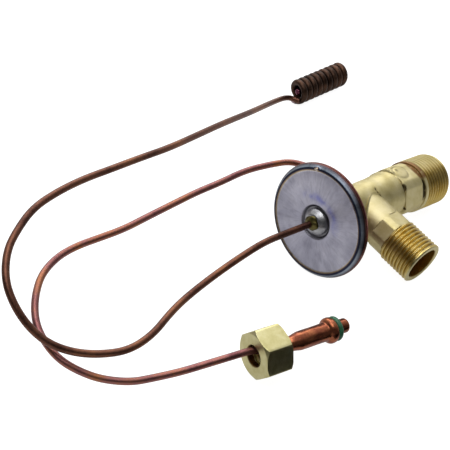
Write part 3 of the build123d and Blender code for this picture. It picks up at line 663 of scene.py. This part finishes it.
upperCover = {
    "profile": [(-1.0, 2.7), (-1.0, 5.3), (-2.05, 6.1), (-1.55, 17.5), (-1.87, 17.85), (-1.87, 18.55),
                (-0.9, 19.6), (-0.12, 20.0), (-0.12, 18.6), (-0.75, 17.6), (-1.25, 6.5), (-0.2, 5.8),
                (-0.2, 2.7)],
    "columns": 144, "reach": 0.25, "step": 0.4, "rim": 20, "weldAt": (18.5, 118), "weldSize": (1.0, 4),
    "weldHeight": 0.5, "weldMark": (0.8, 3.2), "weldTone": 0.874, "uneven": 0.03,
    "arcRadius": 8.2, "arcDrift": 1.2, "arcWidth": 1.35, "arcAngles": ((2, 25), (140, 158)),
}
lowerCover = {
    "profile": [(0.12, 20.0), (1.02, 19.85), (1.62, 18.8), (4.6, 10.3), (5.1, 7.9), (8.4, 7.9),
                (8.4, 6.62), (3.8, 6.62), (3.8, 9.8), (0.72, 18.1), (0.12, 18.6)],
    "columns": 144, "reach": 0.25, "step": 9.0,
}
boss = {
    "profile": [(-1.02, 1.12), (-1.02, 4.7), (-2.0, 4.7), (-2.9, 4.0), (-3.7, 3.2), (-3.9, 2.7),
                (-3.9, 1.12)],
    "columns": 64, "reach": 0.3, "step": 9.0,
}
bossBraze = {
    "profile": [(-3.92, 1.12), (-3.92, 2.75), (-4.5, 2.4), (-5.0, 1.8), (-5.4, 1.12)],
    "columns": 56, "reach": 0.3, "step": 0.15, "lumpAt": (-4.4, 105), "lumpSize": (1.2, 50),
}


def coverShape(x, r, t):
    # one drop of weld on the bead, and a sheet that is uneven by sin (3 t + r / 2)
    c = upperCover
    weld = mound(r, t, c["weldAt"], c["weldSize"], 1.6)
    uneven = c["uneven"] * np.sin(3 * t + r * 0.5) * window(r, (6, 8), (16, 17.5))
    return x - c["weldHeight"] * weld * (x < -0.6) - uneven, r


def coverMarks(x, r, t):
    # the radius and the turn as shares, and a bell across an arc whose radius drifts outward as it turns
    c = upperCover
    angle = np.degrees(t)
    arc = np.exp(-((r - c["arcRadius"] - c["arcDrift"] * ease(90, 150, angle)) / c["arcWidth"]) ** 2)
    arc = arc * window(angle, *c["arcAngles"])
    drop = mound(r, t, c["weldAt"], c["weldMark"], 3.0)
    ring = r / c["rim"] * (1 - drop) + c["weldTone"] * drop
    return {"ring": ring, "turn": t / (2 * np.pi), "tint": arc * (x < -1)}


def brazeShape(x, r, t):
    # lumps left where the filler metal froze: two sine waves round the axis and one mound
    lump = 0.10 * np.sin(2 * t + 0.6) + 0.05 * np.sin(5 * t + 3 * x)
    lump = lump + 0.2 * mound(x, t, bossBraze["lumpAt"], bossBraze["lumpSize"], 1.5)
    return x - 0.08 * np.sin(3 * t) * (x < -4.2), r * (1 + lump * ease(1.3, 2.2, r))


addTurned("upperCover", upperCover, valvePlace, coverSteel, "valve", "upper_cover",
          coverShape, coverMarks)
addTurned("lowerCover", lowerCover, valvePlace, lowerSteel, "valve", "lower_cover")
addTurned("capillaryBoss", boss, valvePlace, bossSteel, "valve", "capillary_boss")
addTurned("capillaryBraze", bossBraze, valvePlace, brazeGold, "valve", "capillary_braze",
          brazeShape)
print("power element made")


# Sensing coil, along its own x from the collar to the tail.
coil = {
    "mean": 4.0, "tube": 1.5, "flat": 0.89, "pitch": 3.11, "turns": 8.7, "start": -93.0, "points": 330,
    "columns": 18, "wobble": 0.05, "wobbleRate": 0.37,
}


def coilLine(turns):
    # left-hand helix: x = pitch times the turns, and an angle that falls by 360 degrees a turn
    angle = math.radians(coil["start"]) - 2 * np.pi * turns
    return np.stack([coil["pitch"] * turns, coil["mean"] * np.cos(angle), coil["mean"] * np.sin(angle)], -1)


turns = np.linspace(0, coil["turns"], coil["points"])
wobble = coil["wobble"] * np.sin(turns * 2 * np.pi * coil["wobbleRate"] + 1)
coilPath = coilLine(turns)
coilGrid = tubeGrid(coilPath, coil["tube"], coil["columns"])
# the wound tube flattens a little across the coil
inward = (coilPath * (0, 1, 1) / coil["mean"])[:, None]
thick = ((coilGrid - coilPath[:, None]) * inward).sum(-1, keepdims=True)
coilGrid = coilGrid + (coil["flat"] - 1) * thick * inward + wobble[:, None, None] * (1, 0, 0)
addPiece("sensingBulb", [(capped(coilGrid), False, {})], bulbPlace, coilCopper,
         "valve", ["sensing_bulb"], 60)

# closed end of the tube: out of the last turn, round half a circle and back along the coil's axis
tail = {
    "overlap": 0.35, "lead": 0.8, "bend": 0.3, "end": 2.2, "tipX": [1.5, 0.7, 0.1, -0.2],
    "tipRadius": [1.42, 1.2, 0.7], "columns": 22,
}
lastPoint = coilLine(np.array(coil["turns"]))
outward = lastPoint * (0, 1, 1) / coil["mean"]
tailStart = lastPoint[0] - coil["tube"] + tail["overlap"]
bendX = lastPoint[0] + tail["bend"]
halfTurn = np.linspace(0, np.pi, 24)
bendRadius = coil["mean"] / 2
straight = np.linspace(bendX - tail["lead"], tail["end"], 30)
tailX = np.concatenate([[tailStart, tailStart + tail["lead"]], bendX + bendRadius * np.sin(halfTurn),
                        straight, tail["tipX"]])
tailOut = np.concatenate([[coil["mean"], coil["mean"]], bendRadius + bendRadius * np.cos(halfTurn),
                          np.zeros(len(straight) + len(tail["tipX"]))])
tailRadius = np.append(np.full(len(tailX) - len(tail["tipRadius"]), coil["tube"]), tail["tipRadius"])
tailLine = tailX[:, None] * np.array([1.0, 0, 0]) + tailOut[:, None] * outward
addPiece("bulbTail", [(capped(tubeGrid(tailLine, tailRadius, tail["columns"])), False, {})], bulbPlace,
         tailCopper, "valve", ["bulb_tail"], 60)

# pinched start of the coil's tube, silver soldered over the capillary
collar = {
    "start": 0.02, "length": 3.2, "points": 14, "radius": 1.46, "pinch": 0.62, "pinchFrom": 1.2,
    "ripple": 0.03, "columns": 22,
}
coilStart = coilLine(np.array(0.0))
ahead = coilLine(np.array(0.002)) - coilStart
ahead /= -np.linalg.norm(ahead)
along = np.linspace(collar["start"], collar["length"], collar["points"])
narrowing = collar["pinch"] * ease(collar["pinchFrom"], collar["length"], along)
collarRadius = collar["radius"] - narrowing + collar["ripple"] * np.sin(along * 4)
collarGrid = tubeGrid(coilStart + along[:, None] * ahead, collarRadius, collar["columns"])
addPiece("bulbCollar", [(capped(collarGrid), False, {})], bulbPlace, brazeSilver,
         "valve", ["bulb_collar"], 60)
print("sensing coil made")


# Equaliser fitting, O-ring and union nut, along the fitting's x from the tube to the pilot.
endFitting = {
    "profile": [(6.0, 1.095), (6.0, 1.75), (12.4, 1.85), (13.8, 2.35), (15.7, 2.75), (16.9, 3.0),
                (27.2, 3.0), (27.8, 3.8), (28.4, 4.18), (29.6, 4.18), (30.2, 3.8), (30.2, 2.1),
                (32.16, 2.1), (32.16, 2.35), (35.3, 2.35), (35.8, 1.95), (35.8, 1.55), (16.9, 1.55),
                (12.4, 0.795), (9.2, 0.795), (9.2, 1.095)],
    "columns": 80, "reach": 0.35, "step": 0.3, "swageSpan": ((11, 15), (25, 27)), "swageDepth": 0.016,
}
oRing = {"middle": 31.17, "radius": 3.07, "wire": 0.95, "columns": 72, "reach": 0.01, "step": 9.0}
nut = {
    "profile": [(0.35, 3.35), (0.0, 3.7), (0.0, 7.12), (0.8, 8.18), (9.1, 8.18), (9.6, 7.45),
                (9.6, 5.75), (8.8, 4.95), (2.0, 4.95), (2.0, 3.35)],
    "columns": 144, "reach": 0.05, "step": 0.15, "turn": 43.0, "flats": 14.2875, "corner": 8.18,
    "bore": 4.95, "wall": 1.2, "pitch": 1.27, "threadDepth": 0.6, "threadStart": 2.6, "threadEnd": 8.9,
    "holeShadeRadii": (3.4, 3.75),
}


def swageShape(x, r, t):
    # rolled swage: eight long flats, cos 8 t, whose width drifts a little along the tube
    facets = np.cos(8 * t + 0.9 * np.sin(0.5 * x)) * (0.7 + 0.3 * np.sin(0.8 * x + 2 * t))
    share = window(x, *endFitting["swageSpan"]) * (r > 1.7)
    return x, r * (1 + share * endFitting["swageDepth"] * (facets - 1))


def nutShape(x, r, t):
    # hexagon inside the two chamfer cones, and a thread cut outward from the bore
    outer = r > nut["bore"] + nut["wall"]
    sides = hexagon(t - math.radians(nut["turn"]), nut["flats"], nut["corner"])
    inner = (np.abs(r - nut["bore"]) < 0.05) & (x > nut["threadStart"]) & (x < nut["threadEnd"])
    cutting = nut["threadDepth"] * (1 - threadShare(x, t, nut["pitch"])) * inner
    return x, np.where(outer, np.minimum(r, sides), r) + cutting


# the hole mark: painted shade inside the hole round the tube
def nutMarks(x, r, t):  # 1 in the hole round the tube
    return {"hole": 1 - ease(*nut["holeShadeRadii"], r)}


addTurned("equaliserFitting", endFitting, fittingPlace, fittingCopper, "valve", "equaliser_fitting",
          swageShape)
ringTurn = np.linspace(0, 2 * np.pi, 20, endpoint=False)
oRing["profile"] = np.stack([oRing["middle"] + oRing["wire"] * np.cos(ringTurn),
                             oRing["radius"] + oRing["wire"] * np.sin(ringTurn)], -1)
addTurned("equaliserORing", oRing, fittingPlace, greenRubber, "valve", "equaliser_oring")
addTurned("equaliserNut", nut, fittingPlace, nutBrass, "union_nut", "equaliser_nut",
          nutShape, nutMarks)
print("fitting and nut made")


# Tubes: a route's ends are in the place of the piece they enter, the rest over the floor.
capillary = {
    "radius": 1.15,
    "mouth": [(-2.2, 0, 0), (-9, 0, 0), (-17, 0, 0)],
    "route": [(-29.1, -28.4, 24.2), (-40.5, -27.2, 22.2), (-51, -26.4, 20), (-62, -27.2, 18.9),
              (-70, -29, 18.5), (-80, -32.4, 18), (-89.5, -32.9, 18), (-97.4, -29.4, 19),
              (-104, -25.8, 21.5), (-109, -21.4, 25), (-111.6, -16.4, 29.5), (-112.4, -11.3, 35),
              (-110.9, -5.9, 40), (-105.5, 0.1, 44), (-99, 3.6, 46.4), (-90, 8.1, 47.5),
              (-79.5, 10.1, 47.5), (-68.5, 11.6, 46.5), (-57, 12.2, 45), (-43, 14.1, 42.5),
              (-29, 16.1, 39.6), (-10.5, 21.6, 35), (8, 27.6, 30), (32, 37.1, 21.5), (52, 47.1, 13.3),
              (65.5, 53.9, 7.6), (73, 56.6, 5), (76.8, 56.8, 3.7), (78.5, 55, 3), (78.8, 52.6, 2.8)],
}
equaliser = {
    "radius": 1.13,
    "socket": [(19.5, 6.3, 0), (19.5, 12, 0), (19.5, 20.5, 0)],
    "route": [(13.5, -1.6, 24.5), (5.5, 1.1, 25.4), (-5, 3.8, 26), (-18, 3.1, 27), (-29, 3.1, 28),
              (-40.5, 2.1, 29), (-51.5, 1.7, 29.5), (-62, 1.1, 30), (-70.5, 2.6, 30), (-78.5, 4.1, 30),
              (-86, 4.2, 29.5), (-94, 1.1, 29), (-100, -3.9, 28), (-104, -8.4, 26),
              (-106.5, -12.9, 24), (-107.5, -18.4, 21.5), (-107, -23.9, 19), (-104, -28.4, 16),
              (-100, -32.9, 13.5), (-93.5, -37.9, 11.6), (-87, -40.4, 10.8), (-79, -43.7, 10.4),
              (-71, -46.7, 10.6), (-64, -49.6, 11)],
    "neck": [(1, 0.8, 1.8), (4, 0, 0), (9, 0, 0)],
}
tubeStep, tubeColumns = 0.6, 24


def addTube(name, points, radius, material, node):
    # circles of the tube's radius along its route
    grid = capped(tubeGrid(routeLine(points, tubeStep), radius, tubeColumns))
    addPiece(name, [(grid, False, {})], rowPlace, material, "valve", [node], 60)


def spots(place, points):  # points of a place as points over the floor, in mm
    return (toRow(np.array(points, float), place) * 1000).tolist()


addTube("capillaryTube", spots(valvePlace, capillary["mouth"]) + capillary["route"],
        capillary["radius"], capillaryCopper, "capillary_tube")
equaliserPoints = spots(valvePlace, equaliser["socket"]) + equaliser["route"]
addTube("equaliserTube", equaliserPoints + spots(fittingPlace, equaliser["neck"]),
        equaliser["radius"], equaliserCopper, "equaliser_tube")
print("tubes made")


def addSheet(name, corners, material):  # one flat face over the floor
    mesh = bpy.data.meshes.new(name)
    mesh.from_pydata(corners, [], [(0, 1, 2, 3)])
    mesh.materials.append(material)
    sheet = bpy.data.objects.new(name, mesh)
    bpy.context.scene.collection.objects.link(sheet)
    return sheet


# Floor: paper that also glows, white to the camera and grey in the metal's reflections.
studio = {"half": 1.5, "seenGlow": 0.95, "mirrorGlow": 0.42, "paper": "#9C9C9C"}
floorPaper, tree = newMaterial("whitePaper")[:2]
path = addNode(tree, "LightPath").outputs
seenGlow = addNode(tree, "Math", {"operation": "MULTIPLY", 1: studio["seenGlow"]},
                   {0: path["Is Camera Ray"]})
mirrored = addNode(tree, "Math", {"operation": "MAXIMUM"},
                   {0: path["Is Glossy Ray"], 1: path["Is Transmission Ray"]})
mirrorGlow = addNode(tree, "Math", {"operation": "MULTIPLY", 1: studio["mirrorGlow"]},
                     {0: mirrored.outputs[0]})
strength = addNode(tree, "Math", {"operation": "ADD"}, {0: seenGlow.outputs[0], 1: mirrorGlow.outputs[0]})
glow = addNode(tree, "Emission", {"Color": (1, 1, 1, 1)}, {"Strength": strength.outputs[0]})
paper = addNode(tree, "BsdfDiffuse", {"Color": linear(studio["paper"])})
both = addNode(tree, "AddShader", {}, {0: glow.outputs[0], 1: paper.outputs[0]})
addNode(tree, "OutputMaterial", {}, {"Surface": both.outputs[0]})
h = studio["half"]
floor = addSheet("floor", [(-h, -h, 0), (h, -h, 0), (h, h, 0), (-h, h, 0)], floorPaper)

# Room: bright at the back and overhead, dark behind the camera, white where the camera sees it.
room = {"bright": (0.62, 0.58, 0.53), "tones": [(0.0, 0.08), (0.35, 0.30), (0.8, 0.75)]}
world = bpy.data.worlds.new("studioWorld")
bpy.context.scene.world = world
world.use_nodes = True
tree = world.node_tree
tree.nodes.clear()
towards = addNode(tree, "TexCoord").outputs["Generated"]
facing = addNode(tree, "VectorMath", {"operation": "DOT_PRODUCT", 1: room["bright"]}, {0: towards})
tone = addNode(tree, "ValToRGB", {}, {"Fac": facing.outputs["Value"]}, room["tones"])
seen = addNode(tree, "LightPath").outputs["Is Camera Ray"]
shade = addNode(tree, "Mix", {"data_type": "RGBA", 7: (1, 1, 1, 1)}, {0: seen, 6: tone.outputs[0]})
sky = addNode(tree, "Background", {"Strength": 1.0}, {"Color": shade.outputs[2]})
addNode(tree, "OutputWorld", {}, {"Surface": sky.outputs[0]})

# Two softboxes, turned towards the middle of the floor.
lamps = {
    "backSoftbox": {"at": (0.30, 0.36, 0.50), "size": (0.7, 0.5), "watts": 2.4},
    "topSoftbox": {"at": (-0.15, -0.05, 0.7), "size": (0.5, 0.5), "watts": 2.2},
}
for lampName, setting in lamps.items():
    light = bpy.data.lights.new(lampName, "AREA")
    light.shape = "RECTANGLE"
    light.size, light.size_y = setting["size"]
    light.energy = setting["watts"]
    lamp = bpy.data.objects.new(lampName, light)
    bpy.context.scene.collection.objects.link(lamp)
    lamp.location = setting["at"]
    lamp.rotation_euler = Vector([-k for k in setting["at"]]).to_track_quat("-Z", "Y").to_euler()

# Dark card lying in front, seen only in the metal.
cardCorners = [(-0.10, -0.068, 0.0004), (0.02, -0.068, 0.0004), (0.06, -0.30, 0.0004), (-0.10, -0.30, 0.0004)]
cardCloth, tree = newMaterial("blackCloth")[:2]
cloth = addNode(tree, "BsdfDiffuse", {"Color": linear("#0A0A0A")})
addNode(tree, "OutputMaterial", {}, {"Surface": cloth.outputs[0]})
card = addSheet("darkCard", cardCorners, cardCloth)
card.visible_camera = False
card.visible_diffuse = False
card.visible_shadow = False

# Camera: its place in metres and the directions of its frame.
camera = {
    "at": (-0.24005, -0.21942, 0.22876),
    "right": (0.71196, -0.70199, 0.01811),
    "down": (-0.39105, -0.41776, -0.82009),
    "ahead": (0.58326, 0.57679, -0.57194),
    "lens": 88.0, "sensor": 36.0, "nearest": 0.01,
}
view = bpy.data.cameras.new("camera")
view.lens = camera["lens"]
view.sensor_width = camera["sensor"]
view.clip_start = camera["nearest"]
viewer = bpy.data.objects.new("camera", view)
bpy.context.scene.collection.objects.link(viewer)
turn = np.eye(4)
turn[:3, 0] = camera["right"]
turn[:3, 1] = -np.array(camera["down"])
turn[:3, 2] = -np.array(camera["ahead"])
turn[:3, 3] = camera["at"]
viewer.matrix_world = Matrix(turn.tolist())
bpy.context.scene.camera = viewer
bpy.context.scene.view_settings.view_transform = "Standard"
print("studio ready")
